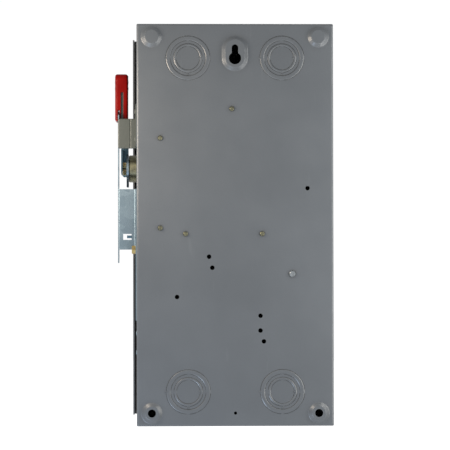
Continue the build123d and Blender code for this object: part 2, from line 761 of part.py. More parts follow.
def make_bushing():
    nut_x = wall_in - locknut
    outer = half_w + bushing_length
    body = rod_x(half_w, outer, pivot_y, pivot_z, bushing_r)
    body = chamfer(body.faces().sort_by(Axis.X)[-1].edges(), 0.8)
    body += rod_x(nut_x - 0.6, half_w, pivot_y, pivot_z, bushing_neck_r)
    body -= rod_x(nut_x - 2, outer + 1, pivot_y, pivot_z, shaft_r + running_gap)
    save(body, "shaft_bushing")
    ring = hex_x(nut_x, wall_in, pivot_y, pivot_z, locknut_flats)
    save(ring - rod_x(nut_x - 1, wall_in + 1, pivot_y, pivot_z, bushing_neck_r), "bushing_locknut")


# ---------------------------------------------------------------- handle
def make_hub():
    plate = rod_x(hub_x, hub_face, pivot_y, pivot_z, hub_plate_r)
    low = pivot_z - hub_tail
    plate += plate_x(hub_x, hub_face, [(pivot_y - 12, pivot_z - 6), (pivot_y + 12, pivot_z - 6),
                                       (pivot_y + 5, low), (pivot_y - 5, low)])
    for hand, place in ((1, "upper"), (-1, "lower")):
        z = pivot_z + hand * hub_stud_pitch / 2
        hole = rod_x(hub_x - 1, hub_face + hub_nut_height + 1, pivot_y, z, hub_stud_r)
        plate -= hole
        save(hex_x(hub_face, hub_face + hub_nut_height, pivot_y, z, hub_nut_flats) - hole, f"{place}_hub_nut")
    save(plate, "hub_plate")


def make_lever():
    inner = half_w + lever_inner
    web_front = web_back - lever_web
    shoulder = pivot_z + hub_plate_r + 0.4
    web = block(inner, lever_face, web_front, web_back, shoulder, pivot_z + channel_reach)
    lower = block(hub_face, lever_face, web_front, web_back, pivot_z - 8.0, shoulder)
    corner = lower.edges().filter_by(Axis.Y).sort_by(lambda edge: edge.center().X - edge.center().Z)[-1]
    lower = chamfer(corner, 2.6)
    limb = plate_x(lever_face - lever_limb, lever_face,
                   [(web_back, pivot_z - 5), (pivot_y - 2, pivot_z - 5), (pivot_y + 3, pivot_z),
                    (pivot_y + 3, pivot_z + 20), (web_back, pivot_z + 20)])
    seat = block(hub_face, hub_face + lever_limb, web_back, pivot_y - 8.5, pivot_z - 6.0, pivot_z + 10.0)
    save(web + lower + limb + seat, "lever_channel")

    tongue = block(lever_face - tongue_thickness, lever_face, web_back, pivot_y + tongue_half_width,
                   pivot_z + 22.0, pivot_z + grip_reach - tongue_end_gap)
    tongue = fillet(tongue.edges().filter_by(Axis.X).sort_by(Axis.Z)[-2:], 6.0)
    for height in grip_rivet_heights:
        tongue -= rod_x(lever_face - tongue_thickness - 1, lever_face + 1, pivot_y, pivot_z + height, rivet_hole_r)
    save(tongue, "lever_tongue")


def make_grip():
    outer = half_w + grip_outer
    inner = outer - grip_width
    front, back = pivot_y - grip_depth / 2, pivot_y + grip_depth / 2
    low, high = pivot_z + grip_start, pivot_z + grip_reach
    body = block(inner, outer, front, back, low, high)
    body = fillet(body.edges().filter_by(Axis.X), grip_edge_r)
    body = fillet(body.faces().sort_by(Axis.Z)[-1].edges(), 1.8)
    tongue_back = lever_face - tongue_thickness
    # the tongue's slot, open to the rear below the grip's head
    body -= block(tongue_back, lever_face, front + grip_wall, back + 1, low - 1, pivot_z + tongue_reach)
    body -= block(tongue_back, lever_face, front + grip_wall, pivot_y + tongue_half_width,
                  pivot_z + tongue_reach - 5, high - tongue_end_gap)
    # a narrow groove lets the guard's rim through
    rim = pivot_z + guard_r + guard_rim_gap
    body -= block(guard_x - guard_sheet - guard_side_gap, guard_x + guard_side_gap, front - 1, back + 1, low - 1, rim)
    for height in grip_rivet_heights:
        body -= rod_x(inner - 1, outer + 1, pivot_y, pivot_z + height, rivet_hole_r)
    save(body, "handle_grip")
    rivets = [rivet_x(inner, outer, pivot_y, pivot_z + height, height=0.4) for height in grip_rivet_heights]
    save(merge(rivets), "grip_rivets")


# ---------------------------------------------------------------- guard and bracket
def make_guard():
    x0, x1 = guard_x - guard_sheet, guard_x
    flange_face = guard_back_y - guard_sheet
    disc = rod_x(x0, x1, pivot_y, pivot_z, guard_r)
    reach = guard_r + 1
    disc &= block(x0 - 1, x1 + 1, pivot_y - reach, guard_back_y, pivot_z - reach, pivot_z + reach)
    disc -= block(x0 - 1, x1 + 1, pivot_y - guard_r - 1, guard_back_y - guard_tail_width,
                  pivot_z + guard_opening[0], pivot_z + guard_opening[1])
    tail = block(x0, x1, guard_back_y - guard_tail_width, guard_back_y, pivot_z + guard_tail, pivot_z)
    lower_edge = tail.edges().filter_by(Axis.X).sort_by(lambda edge: edge.center().Y + edge.center().Z)[0]
    tail = chamfer(lower_edge, 6.0)
    y, z = at_pivot(padlock_reach, handle_throw)
    low, high = [pivot_z + height for height in guard_flange]
    flange = block(half_w, x1, flange_face, guard_back_y, low, high)
    flange -= block(half_w + guard_slot_x[0], half_w + guard_slot_x[1], flange_face - 1, guard_back_y + 1,
                    pivot_z + guard_slot_z[0], pivot_z + guard_slot_z[1])
    lap = block(half_w, half_w + guard_sheet, flange_face, guard_back_y + 7.0, low, high)
    lap += block(half_w, half_w + guard_sheet, flange_face, guard_back_y + guard_foot_depth,
                 pivot_z + guard_foot[0], pivot_z + guard_foot[1])
    guard = disc + tail - rod_x(x0 - 1, x1 + 1, y, z, padlock_hole_r) + flange + lap
    bend = [edge for edge in guard.edges().filter_by(Axis.Z) if abs(edge.center().Y - guard_back_y) < 0.01]
    guard = fillet([edge for edge in bend if abs(edge.center().X - x1) < 0.01], guard_bend_r)
    inside = [edge for edge in guard.edges().filter_by(Axis.Z) if abs(edge.center().Y - guard_back_y) < 0.01
              and abs(edge.center().X - half_w - guard_sheet) < 0.01]
    guard = fillet(inside, guard_bend_r)
    # above the flange the bracket covers the plate's rear edge
    guard -= block(x0 - 1, x1 + 1, flange_face - 0.4, guard_back_y + 1, high + 1.0, pivot_z + guard_r + 1)
    for y, z in guard_bolts:
        guard -= rod_x(half_w - 1, half_w + guard_sheet + 1, y, z, bolt_shank_r + 0.1)
    save(guard, "handle_guard")
    seat = half_w + guard_sheet
    for (y, z), place in zip(guard_bolts, ("rear", "front")):
        head = hex_x(seat, seat + bolt_height, y, z, bolt_flats)
        save(head + rod_x(wall_in - 5.0, seat, y, z, bolt_shank_r), f"{place}_guard_bolt")


def make_bracket():
    # painted upper bracket: foot on the box, rear flange, and a lap inside the guard's outer plate
    lap = guard_x - guard_sheet
    face = guard_back_y - bracket_sheet
    low, high = [pivot_z + height for height in bracket_flange]
    flange = block(half_w, guard_x, face, guard_back_y, low, high)
    flange = fillet(flange.edges().filter_by(Axis.Y), guard_corner_r)
    outer = flange.edges().filter_by(Axis.Z).sort_by(lambda edge: edge.center().X + edge.center().Y)[-1]
    flange = fillet(outer, bracket_bend_r)
    crease_x = half_w + bracket_crease
    flange -= rod_z(crease_x, guard_back_y + crease_r / 2, low - 1, high + 1, crease_r)
    side = block(lap - bracket_sheet, lap, guard_back_y - 12.0, face, low + 3.0, high - 3.0)
    foot = block(half_w, half_w + bracket_sheet, face, guard_back_y + bracket_foot_depth,
                 pivot_z + bracket_foot[0], pivot_z + bracket_foot[1])
    foot = fillet(foot.edges().filter_by(Axis.X).sort_by(Axis.Y)[-2:], 3.0)
    bracket = flange + side + foot
    for y, z in bracket_spots:
        bracket -= rod_x(half_w - 1, half_w + bracket_sheet + 1, y, z, rivet_hole_r)
    save(bracket, "upper_bracket")
    save(merge([rivet_x(wall_in, half_w + bracket_sheet, y, z) for y, z in bracket_spots]), "bracket_rivets")


def make_lock_slide():
    y1 = guard_back_y - guard_sheet - 0.2
    low, high = [pivot_z + height for height in guard_slot_z]
    mid = (low + high) / 2
    start, end = half_w + guard_slot_x[0], half_w + guard_slot_x[1] - lock_travel - 0.3
    plate = block(half_w + 1.6, start - 0.2, y1 - lock_sheet, y1, low - 6, high + 6)
    plate = fillet(plate.edges().filter_by(Axis.Y), 1.2)
    bar = block(half_w + 2.0, end, y1 - lock_sheet, y1, mid - lock_bar / 2, mid + lock_bar / 2)
    lug = block(start + 0.2, end, y1, guard_back_y + 1.2, mid - lock_bar / 2, mid + lock_bar / 2)
    return plate + bar + lug


def make_catch_plate():
    y0, y1 = flange_y - 12.0, flange_y + 6.0
    plate = block(half_w, half_w + catch_plate_height, y0, y1, z_mid - catch_plate_drop[1],
                  z_mid - catch_plate_drop[0])
    save(chamfer(plate.faces().sort_by(Axis.X)[-1].edges(), 0.8), "catch_plate")
    for drop, place in zip(catch_button_drops, ("upper", "lower")):
        button = rod_x(half_w, half_w + catch_plate_height, (y0 + y1) / 2, z_mid - drop, catch_button_r)
        save(chamfer(button.faces().sort_by(Axis.X)[-1].edges(), 0.8), f"{place}_catch_button")


os.makedirs("parts", exist_ok=True)
save(make_enclosure(), "enclosure_box")
save(make_cover(), "cover")
for height, place in zip(hinge_heights, ("lower", "upper")):
    make_hinge(height, place)
make_hinge_rivets()
make_cover_screw()
make_interlock()
save(make_defeat_screw(), "defeat_screw")
save(make_base(), "switch_base")
for name, spots, head_y in (("base", base_screws, base_y), ("frame", frame_screws, panel_y - frame_sheet)):
    screws = [screw_y(x, z, head_y, screw_end_y, base_screw_r, screw_head_r, screw_head) for x, z in spots]
    save(merge(screws), f"{name}_screws")
make_contacts()
make_rotor()
save(make_bearing(), "rotor_end_bearing")
make_arc_chutes()
save(make_shield(), "line_shield")
make_ground_bar()
save(make_disc(), "rotor_disc")
make_drive()
save(make_frame(), "mechanism_frame")
save(make_spring(), "throw_spring")
make_bushing()
make_hub()
make_lever()
make_grip()
make_guard()
make_bracket()
save(make_lock_slide(), "lock_slide")
make_catch_plate()
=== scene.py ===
import json
import math
import bpy
import bmesh
from mathutils import Matrix, Vector


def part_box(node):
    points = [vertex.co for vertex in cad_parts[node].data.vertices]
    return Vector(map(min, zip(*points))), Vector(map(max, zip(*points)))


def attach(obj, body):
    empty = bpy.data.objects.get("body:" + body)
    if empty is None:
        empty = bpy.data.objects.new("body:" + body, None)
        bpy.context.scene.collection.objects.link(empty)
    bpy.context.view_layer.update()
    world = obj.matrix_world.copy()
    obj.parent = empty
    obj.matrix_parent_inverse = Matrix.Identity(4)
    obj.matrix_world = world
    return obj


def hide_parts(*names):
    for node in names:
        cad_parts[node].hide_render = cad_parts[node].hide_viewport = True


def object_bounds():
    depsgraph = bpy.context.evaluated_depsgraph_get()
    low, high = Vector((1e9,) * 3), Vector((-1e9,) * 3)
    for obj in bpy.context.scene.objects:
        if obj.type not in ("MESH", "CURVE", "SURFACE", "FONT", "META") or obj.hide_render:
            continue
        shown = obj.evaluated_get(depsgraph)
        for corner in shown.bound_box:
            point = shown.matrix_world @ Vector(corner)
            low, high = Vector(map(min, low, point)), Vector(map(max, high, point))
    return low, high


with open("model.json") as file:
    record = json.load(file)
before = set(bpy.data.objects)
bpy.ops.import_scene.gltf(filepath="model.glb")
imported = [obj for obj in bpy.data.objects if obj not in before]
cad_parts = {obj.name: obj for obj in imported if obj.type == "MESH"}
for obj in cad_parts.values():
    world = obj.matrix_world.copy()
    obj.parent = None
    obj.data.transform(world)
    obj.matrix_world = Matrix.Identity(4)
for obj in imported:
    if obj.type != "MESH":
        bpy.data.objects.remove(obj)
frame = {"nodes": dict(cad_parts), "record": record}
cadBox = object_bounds()
nodes = frame["nodes"]
nodeSlots = {part["node"]: part["material_slot"] for part in frame["record"]["subparts"]}
bodies = frame["record"]["behaviour"]["bodies"]
bodyOf = {node: body for body, members in bodies.items() for node in members}
mm = 0.001
footHeight = 3 * mm  # the pressed feet stand this far behind the panel
xAxis, yAxis, zAxis = Vector((1, 0, 0)), Vector((0, 1, 0)), Vector((0, 0, 1))

# offsets in millimetres from the middle of the enclosure's back
cameraSettings = {"offset": (73.5, 2296.8, -40.7), "aim": (10.1, 0.0, -0.3), "lens": 186.0, "sensor": 36.0,
                  "roll": -0.1, "farEnd": 20.0}
studio = {
    "floorDrop": 0.42,
    "floorSize": 12.0,
    "floorColour": "#ffffff",
    "floorGlow": 0.2,
    "worldColour": "#ffffff",
    "worldStrength": 1.02,
}
# each light: place and size in millimetres from the middle of the back, then colour and watts
lamps = {
    "warmStrip": {"offset": (240, 120, 105), "size": 110, "tall": 150, "colour": "#ffefdb", "watts": 1.1},
    "coolLow": {"offset": (300, 330, -420), "size": 150, "tall": 150, "colour": "#cfe4ff", "watts": 1.7},
    "rightFill": {"offset": (-235, 105, 0), "size": 90, "tall": 420, "colour": "#fffdf8", "watts": 0.95},
    "frontSoft": {"offset": (-500, -1500, 700), "size": 900, "tall": 900, "colour": "#ffffff", "watts": 8.0},
}


def hexColour(code):
    channels = [int(code[i:i + 2], 16) / 255 for i in (1, 3, 5)]
    linear = [c / 12.92 if c <= 0.04045 else ((c + 0.055) / 1.055) ** 2.4 for c in channels]
    return (*linear, 1.0)


def backMiddle():
    low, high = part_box("enclosure_box")
    return Vector(((low.x + high.x) / 2, high.y - footHeight, (low.z + high.z) / 2))


def pointAt(thing, target, roll=0.0):
    direction = target - thing.location
    turn = direction.to_track_quat("-Z", "Y").to_matrix()
    thing.rotation_euler = (turn @ Matrix.Rotation(math.radians(roll), 3, "Z")).to_euler()


def setCamera():
    middle = backMiddle()
    data = bpy.data.cameras.new("camera")
    data.lens = cameraSettings["lens"]
    data.sensor_width = cameraSettings["sensor"]
    data.clip_end = cameraSettings["farEnd"]
    camera = bpy.data.objects.new("camera", data)
    bpy.context.scene.collection.objects.link(camera)
    camera.location = middle + Vector(cameraSettings["offset"]) * mm
    pointAt(camera, middle + Vector(cameraSettings["aim"]) * mm, cameraSettings["roll"])
    bpy.context.scene.camera = camera


def setStudio():
    scene = bpy.context.scene
    scene.view_settings.view_transform = "Standard"
    world = bpy.data.worlds.new("softWhiteRoom")
    world.use_nodes = True
    background = world.node_tree.nodes["Background"]
    background.inputs["Color"].default_value = hexColour(studio["worldColour"])
    background.inputs["Strength"].default_value = studio["worldStrength"]
    scene.world = world
    middle = backMiddle()
    for name, lamp in lamps.items():
        data = bpy.data.lights.new(name, "AREA")
        data.shape = "RECTANGLE"
        data.size = lamp["size"] * mm
        data.size_y = lamp["tall"] * mm
        data.color = hexColour(lamp["colour"])[:3]
        data.energy = lamp["watts"]
        light = bpy.data.objects.new(name, data)
        scene.collection.objects.link(light)
        light.location = middle + Vector(lamp["offset"]) * mm
        pointAt(light, middle)


def makeFloor():
    bm = bmesh.new()
    bmesh.ops.create_grid(bm, x_segments=1, y_segments=1, size=studio["floorSize"])
    mesh = bpy.data.meshes.new("floor")
    low = cadBox[0][2] - studio["floorDrop"]
    bmesh.ops.translate(bm, vec=(0, 0, low), verts=bm.verts)
    bm.to_mesh(mesh)
    bm.free()
    floor = bpy.data.objects.new("floor", mesh)
    bpy.context.scene.collection.objects.link(floor)
    paper = bpy.data.materials.new("floorPaper")
    paper.use_nodes = True
    shader = paper.node_tree.nodes["Principled BSDF"]
    shader.inputs["Base Color"].default_value = hexColour(studio["floorColour"])
    shader.inputs["Roughness"].default_value = 1.0
    shader.inputs["Specular IOR Level"].default_value = 0.0
    shader.inputs["Emission Color"].default_value = hexColour(studio["floorColour"])
    shader.inputs["Emission Strength"].default_value = studio["floorGlow"]
    mesh.materials.append(paper)


setCamera()
setStudio()
makeFloor()
print("camera, floor and light are set")


def addNode(tree, kind, sockets=(), **settings):
    # a socket takes another node's output, a hex colour or a plain value
    node = tree.nodes.new("ShaderNode" + kind)
    for name, value in settings.items():
        setattr(node, name, value)
    for name, value in dict(sockets).items():
        if isinstance(value, bpy.types.NodeSocket):
            tree.links.new(value, node.inputs[name])
        else:
            node.inputs[name].default_value = hexColour(value) if isinstance(value, str) else value
    return node


def startMaterial(name, **sockets):
    material = bpy.data.materials.new(name)
    material.use_nodes = True
    tree = material.node_tree
    shader = tree.nodes["Principled BSDF"]
    for socket, value in sockets.items():
        shader.inputs[socket.replace("_", " ")].default_value = value
    coords = addNode(tree, "TexCoord").outputs["Object"]
    return material, tree, shader, coords


def perMetre(millimetres):
    return 1000 / millimetres


def layPatches(tree, coords, colour, tone, size, detail, edges, most=1.0, roughness=0.5):
    # a second tone in cloudy patches over the first: edges are where a patch starts and where it is full
    clouds = addNode(tree, "TexNoise", {"Vector": coords, "Scale": perMetre(size), "Detail": detail,
                                        "Roughness": roughness})
    mask = addNode(tree, "MapRange", {"Value": clouds.outputs["Fac"], "From Min": edges[0],
                                      "From Max": edges[1], "To Max": most})
    sockets = {0: mask.outputs["Result"], 6: colour, 7: tone}
    return addNode(tree, "Mix", sockets, data_type="RGBA").outputs[2]


def varyGloss(tree, shader, coords, size, detail, smooth, rough, edges=(0.3, 0.7)):
    # the surface drifts between a smoother and a rougher finish
    clouds = addNode(tree, "TexNoise", {"Vector": coords, "Scale": perMetre(size), "Detail": detail})
    gloss = addNode(tree, "MapRange", {"Value": clouds.outputs["Fac"], "From Min": edges[0],
                                       "From Max": edges[1], "To Min": smooth, "To Max": rough})
    tree.links.new(gloss.outputs["Result"], shader.inputs["Roughness"])


def addRelief(tree, shader, coords, size, detail, strength, depth):
    # small bumps all over; size and depth in millimetres
    bumps = addNode(tree, "TexNoise", {"Vector": coords, "Scale": perMetre(size), "Detail": detail})
    relief = addNode(tree, "Bump", {"Height": bumps.outputs["Fac"], "Strength": strength,
                                    "Distance": depth * mm})
    tree.links.new(relief.outputs["Normal"], shader.inputs["Normal"])


def drawLines(tree, shader, coords, stretch, size, detail, gloss, strength, depth):
    # fine lines drawn out along Z set both the gloss and the relief; a colour may follow them too
    drawn = addNode(tree, "Mapping", {"Vector": coords, "Scale": (1.0, 1.0, stretch)})
    lines = addNode(tree, "TexNoise", {"Vector": drawn.outputs["Vector"], "Scale": perMetre(size),
                                       "Detail": detail}).outputs["Fac"]
    sheen = addNode(tree, "MapRange", {"Value": lines, "From Min": 0.3, "From Max": 0.7,
                                       "To Min": gloss[0], "To Max": gloss[1]})
    tree.links.new(sheen.outputs["Result"], shader.inputs["Roughness"])
    relief = addNode(tree, "Bump", {"Height": lines, "Strength": strength, "Distance": depth * mm})
    tree.links.new(relief.outputs["Normal"], shader.inputs["Normal"])
    return lines


def wearEdges(tree, coords, colour, bare, radius, patch):
    # where the rounded normal leaves the flat one is an edge; noise breaks the wear into patches
    rounded = addNode(tree, "Bevel", {"Radius": radius * mm}, samples=4).outputs["Normal"]
    flat = addNode(tree, "NewGeometry").outputs["Normal"]
    agreement = addNode(tree, "VectorMath", {0: rounded, 1: flat}, operation="DOT_PRODUCT")
    edge = addNode(tree, "MapRange", {"Value": agreement.outputs["Value"], "From Min": 0.985,
                                      "From Max": 0.86})
    clouds = addNode(tree, "TexNoise", {"Vector": coords, "Scale": perMetre(patch), "Detail": 4.0})
    rubs = addNode(tree, "MapRange", {"Value": clouds.outputs["Fac"], "From Min": 0.47, "From Max": 0.6})
    wear = addNode(tree, "Math", {0: edge.outputs["Result"], 1: rubs.outputs["Result"]},
                   operation="MULTIPLY")
    sockets = {0: wear.outputs[0], 6: colour, 7: bare}
    return addNode(tree, "Mix", sockets, data_type="RGBA").outputs[2]


# the scuffs are long scratches, narrow across and leaning a little; sizes in millimetres
# the reach of the painted shade in gaps and crevices is in millimetres too
enamelFinish = {"drift": 85.0, "speckle": 0.9, "scuff": 70.0, "scuffScale": (9.0, 9.0, 1.0), "scuffLean": 0.5,
                "edge": 0.5, "wearPatch": 9.0, "shadeReach": 7.0, "glossPatch": 26.0, "peel": 1.7,
                "peelDepth": 0.12, "wave": 60.0, "waveDepth": 1.2}


def makeEnamel(name, tones, worn, roughness, creviceShade):
    # baked polyester enamel on sheet steel: semi-gloss, a fine orange peel, thin bright wear on the edges
    finish = enamelFinish
    material, tree, shader, coords = startMaterial(name, IOR=1.5, Coat_Weight=0.12, Coat_Roughness=0.18)
    colour = layPatches(tree, coords, tones[0], tones[1], finish["drift"], 3.0, (0.35, 0.65))
    colour = layPatches(tree, coords, colour, tones[2], finish["speckle"], 2.0, (0.52, 0.72), 0.22)
    scratched = addNode(tree, "Mapping", {"Vector": coords, "Rotation": (0.0, finish["scuffLean"], 0.0),
                                          "Scale": finish["scuffScale"]}).outputs["Vector"]
    colour = layPatches(tree, scratched, colour, tones[3], finish["scuff"], 6.0, (0.66, 0.72), 0.3, 0.6)
    colour = wearEdges(tree, coords, colour, worn, finish["edge"], finish["wearPatch"])
    # painted shade: the colour goes towards a dark tone in the narrow gaps and round the roots of the
    # pressings, where ambient occlusion finds little open space
    openness = addNode(tree, "AmbientOcclusion", {"Distance": finish["shadeReach"] * mm}, samples=6)
    outOfShade = addNode(tree, "MapRange", {"Value": openness.outputs["AO"], "From Min": 0.4, "From Max": 0.95})
    sockets = {0: outOfShade.outputs["Result"], 6: creviceShade, 7: colour}
    colour = addNode(tree, "Mix", sockets, data_type="RGBA").outputs[2]
    tree.links.new(colour, shader.inputs["Base Color"])
    varyGloss(tree, shader, coords, finish["glossPatch"], 4.0, roughness - 0.06, roughness + 0.08)
    dimples = addNode(tree, "TexNoise", {"Vector": coords, "Scale": perMetre(finish["peel"]), "Detail": 1.0})
    orangePeel = addNode(tree, "Bump", {"Height": dimples.outputs["Fac"], "Strength": 0.22,
                                        "Distance": finish["peelDepth"] * mm})
    swells = addNode(tree, "TexNoise", {"Vector": coords, "Scale": perMetre(finish["wave"]), "Detail": 1.0})
    waves = addNode(tree, "Bump", {"Height": swells.outputs["Fac"], "Strength": 0.25,
                                   "Distance": finish["waveDepth"] * mm,
                                   "Normal": orangePeel.outputs["Normal"]})
    tree.links.new(waves.outputs["Normal"], shader.inputs["Normal"])
    return material


def makeGalvanised(name, tones, roughness=0.42, crystal=7.5, sway=4.0):
    # hot-dip galvanised sheet: frosted crystals a few millimetres across, each its own gray and gloss
    material, tree, shader, coords = startMaterial(name, Metallic=1.0)
    bent = addNode(tree, "TexNoise", {"Vector": coords, "Scale": perMetre(crystal), "Detail": 2.0})
    push = addNode(tree, "VectorMath", {0: bent.outputs["Color"], 1: (sway * mm, sway * mm, sway * mm)},
                   operation="MULTIPLY")
    place = addNode(tree, "VectorMath", {0: coords, 1: push.outputs["Vector"]}, operation="ADD")
    cells = addNode(tree, "TexVoronoi", {"Vector": place.outputs["Vector"], "Scale": perMetre(crystal)})
    shade = addNode(tree, "SeparateColor", {"Color": cells.outputs["Color"]})
    sockets = {0: shade.outputs["Red"], 6: tones[0], 7: tones[1]}
    colour = addNode(tree, "Mix", sockets, data_type="RGBA").outputs[2]
    colour = layPatches(tree, coords, colour, tones[2], 0.7, 3.0, (0.35, 0.75), 0.4)
    tree.links.new(colour, shader.inputs["Base Color"])
    gloss = addNode(tree, "MapRange", {"Value": shade.outputs["Green"], "To Min": roughness - 0.07,
                                       "To Max": roughness + 0.1})
    tree.links.new(gloss.outputs["Result"], shader.inputs["Roughness"])
    addRelief(tree, shader, coords, 0.5, 3.0, 0.16, 0.05)
    return material


def makePlated(name, tones, roughness, blush=None):
    # electroplated zinc or brass: smooth with a faint mottle; a chromate bath tints it in patches
    material, tree, shader, coords = startMaterial(name, Metallic=1.0)
    colour = layPatches(tree, coords, tones[0], tones[1], 3.5, 3.0, (0.35, 0.65))
    if blush:
        colour = layPatches(tree, coords, colour, blush, 1.8, 1.0, (0.5, 0.7), 0.5)
    tree.links.new(colour, shader.inputs["Base Color"])
    varyGloss(tree, shader, coords, 1.2, 3.0, roughness - 0.06, roughness + 0.1)
    addRelief(tree, shader, coords, 0.35, 2.0, 0.12, 0.03)
    return material


def makeBlueBlackSteelPaintedShade():
    # blackened steel, oily semi-gloss, with bare steel rubbed through on its edges; its blue-black tone is
    # partly the steel's dark finish and partly painted shade with a painted blue reflection
    material, tree, shader, coords = startMaterial("blueBlackSteelPaintedShade", Metallic=0.85)
    colour = layPatches(tree, coords, "#3c5464", "#4d6675", 9.0, 4.0, (0.3, 0.7))
    colour = wearEdges(tree, coords, colour, "#93a0a6", 0.4, 5.0)
    tree.links.new(colour, shader.inputs["Base Color"])
    varyGloss(tree, shader, coords, 2.2, 3.0, 0.34, 0.5)
    addRelief(tree, shader, coords, 0.6, 3.0, 0.2, 0.05)
    return material


def makeRedMoulding():
    # injection-moulded red nylon: glossy skin over a faint flow mottle, with fine handling scratches
    material, tree, shader, coords = startMaterial("redNylon", IOR=1.53, Specular_IOR_Level=0.06)
    flow = addNode(tree, "Mapping", {"Vector": coords, "Scale": (1.0, 1.0, 0.35)}).outputs["Vector"]
    colour = layPatches(tree, flow, "#5e0301", "#680603", 7.0, 3.0, (0.35, 0.65))
    tree.links.new(colour, shader.inputs["Base Color"])
    scratched = addNode(tree, "Mapping", {"Vector": coords, "Rotation": (0.4, 0.2, 0.0),
                                          "Scale": (8.0, 8.0, 0.6)}).outputs["Vector"]
    varyGloss(tree, shader, scratched, 2.5, 4.0, 0.24, 0.4, (0.35, 0.75))
    addRelief(tree, shader, coords, 0.8, 2.0, 0.1, 0.05)
    return material


def makeCopper():
    # rolled copper strip: fine rolling lines along it and warm tarnish in patches
    material, tree, shader, coords = startMaterial("copperStrip", Metallic=1.0)
    colour = layPatches(tree, coords, "#d9926b", "#a8684a", 8.0, 4.0, (0.4, 0.62))
    tree.links.new(colour, shader.inputs["Base Color"])
    drawLines(tree, shader, coords, 0.04, 0.5, 3.0, (0.24, 0.42), 0.15, 0.03)
    return material


def makeTinnedAluminium():
    # extruded and tin-plated aluminium: pale, soft, with straight draw lines
    material, tree, shader, coords = startMaterial("tinnedAluminium", Metallic=1.0)
    colour = layPatches(tree, coords, "#c5c8ca", "#d9dbdb", 5.0, 3.0, (0.35, 0.65))
    tree.links.new(colour, shader.inputs["Base Color"])
    drawLines(tree, shader, coords, 0.03, 0.6, 2.0, (0.28, 0.46), 0.2, 0.04)
    return material


def makeMoulded(name, tones, roughness, fleck):
    # compression-moulded thermoset: dull skin with glass and mineral flecks just under it
    material, tree, shader, coords = startMaterial(name, IOR=1.55)
    colour = layPatches(tree, coords, tones[0], tones[1], 14.0, 3.0, (0.35, 0.65))
    chips = addNode(tree, "TexVoronoi", {"Vector": coords, "Scale": perMetre(1.3)})
    flecks = addNode(tree, "MapRange", {"Value": chips.outputs["Distance"], "From Min": 0.16,
                                        "From Max": 0.08, "To Max": 0.35})
    sockets = {0: flecks.outputs["Result"], 6: colour, 7: fleck}
    colour = addNode(tree, "Mix", sockets, data_type="RGBA").outputs[2]
    tree.links.new(colour, shader.inputs["Base Color"])
    varyGloss(tree, shader, coords, 6.0, 3.0, roughness - 0.07, roughness + 0.08)
    addRelief(tree, shader, coords, 0.7, 3.0, 0.2, 0.06)
    return material


def makeFibre():
    # vulcanised fibre sheet: paper-like, matt, with a felted surface
    material, tree, shader, coords = startMaterial("vulcanisedFibre", IOR=1.46)
    fibres = drawLines(tree, shader, coords, 0.25, 0.8, 4.0, (0.7, 0.88), 0.25, 0.06)
    felt = addNode(tree, "MapRange", {"Value": fibres, "From Min": 0.35, "From Max": 0.65})
    sockets = {0: felt.outputs["Result"], 6: "#8d5a45", 7: "#a5705a"}
    tree.links.new(addNode(tree, "Mix", sockets, data_type="RGBA").outputs[2], shader.inputs["Base Color"])
    return material


def makePolycarbonate():
    # clear polycarbonate sheet: bright and clear, with faint haze and rub marks
    material, tree, shader, coords = startMaterial("clearPolycarbonate", IOR=1.58, Transmission_Weight=0.92)
    clouds = addNode(tree, "TexNoise", {"Vector": coords, "Scale": perMetre(11.0), "Detail": 4.0})
    haze = addNode(tree, "MapRange", {"Value": clouds.outputs["Fac"], "From Min": 0.4, "From Max": 0.7})
    sockets = {0: haze.outputs["Result"], 6: "#f2f6f6", 7: "#e4ecec"}
    tree.links.new(addNode(tree, "Mix", sockets, data_type="RGBA").outputs[2], shader.inputs["Base Color"])
    rubs = addNode(tree, "MapRange", {"Value": haze.outputs["Result"], "To Min": 0.06, "To Max": 0.2})
    tree.links.new(rubs.outputs["Result"], shader.inputs["Roughness"])
    return material


materials = {
    # the last colour of each enamel is its painted shade for gaps and crevices
    "gray_enamel": makeEnamel("grayEnamel", ("#3f4347", "#44484c", "#393d41", "#4f5356"), "#5f6365",
                              0.41, "#1b1b19"),
    "bracket_enamel": makeEnamel("warmGrayEnamel", ("#363a35", "#3b3f3a", "#313530", "#484c46"), "#5f625c",
                                 0.42, "#333631"),
    "red_grip": makeRedMoulding(),
    "galvanised": makeGalvanised("galvanisedSheet", ("#6b7a83", "#707e87", "#7a8991")),
    "zinc_steel": makePlated("zincPlate", ("#7c8184", "#969b9e"), 0.3),
    "yellow_zinc": makePlated("yellowZincPlate", ("#857548", "#9a8a5e"), 0.3, blush="#8f7564"),
    "dull_zinc": makePlated("dulledZinc", ("#5c5b4d", "#76745f"), 0.36, blush="#7c7a62"),
    "brass_nut": makePlated("brassPlate", ("#d9c48c", "#ecd9a6"), 0.22, blush="#d8b98a"),
    "black_steel": makeBlueBlackSteelPaintedShade(),
    "copper": makeCopper(),
    "lug_aluminium": makeTinnedAluminium(),
    "base_moulding": makeMoulded("blackPhenolic", ("#232222", "#2b2a29"), 0.48, "#4a4643"),
    "rotor_moulding": makeMoulded("redGlassPolyester", ("#6e2a1f", "#7b3326"), 0.5, "#a06a58"),
    "fibre": makeFibre(),
    "shield": makePolycarbonate(),
}
for node, item in nodes.items():
    item.data.materials.clear()
    item.data.materials.append(materials[nodeSlots[node]])
print("materials are on the frame's parts:", len(materials))


def finishPiece(bm, name, node, replaced=True, sharp=32):
    bmesh.ops.remove_doubles(bm, verts=bm.verts, dist=0.002 * mm)
    bmesh.ops.recalc_face_normals(bm, faces=bm.faces)
    mesh = bpy.data.meshes.new(name)
    bm.to_mesh(mesh)
    bm.free()
    mesh.shade_smooth()
    mesh.set_sharp_from_angle(angle=math.radians(sharp))
    piece = bpy.data.objects.new(name, mesh)
    bpy.context.scene.collection.objects.link(piece)
    mesh.materials.append(materials[nodeSlots[node]])
    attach(piece, bodyOf[node])
    if replaced:
        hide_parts(node)
    return piece


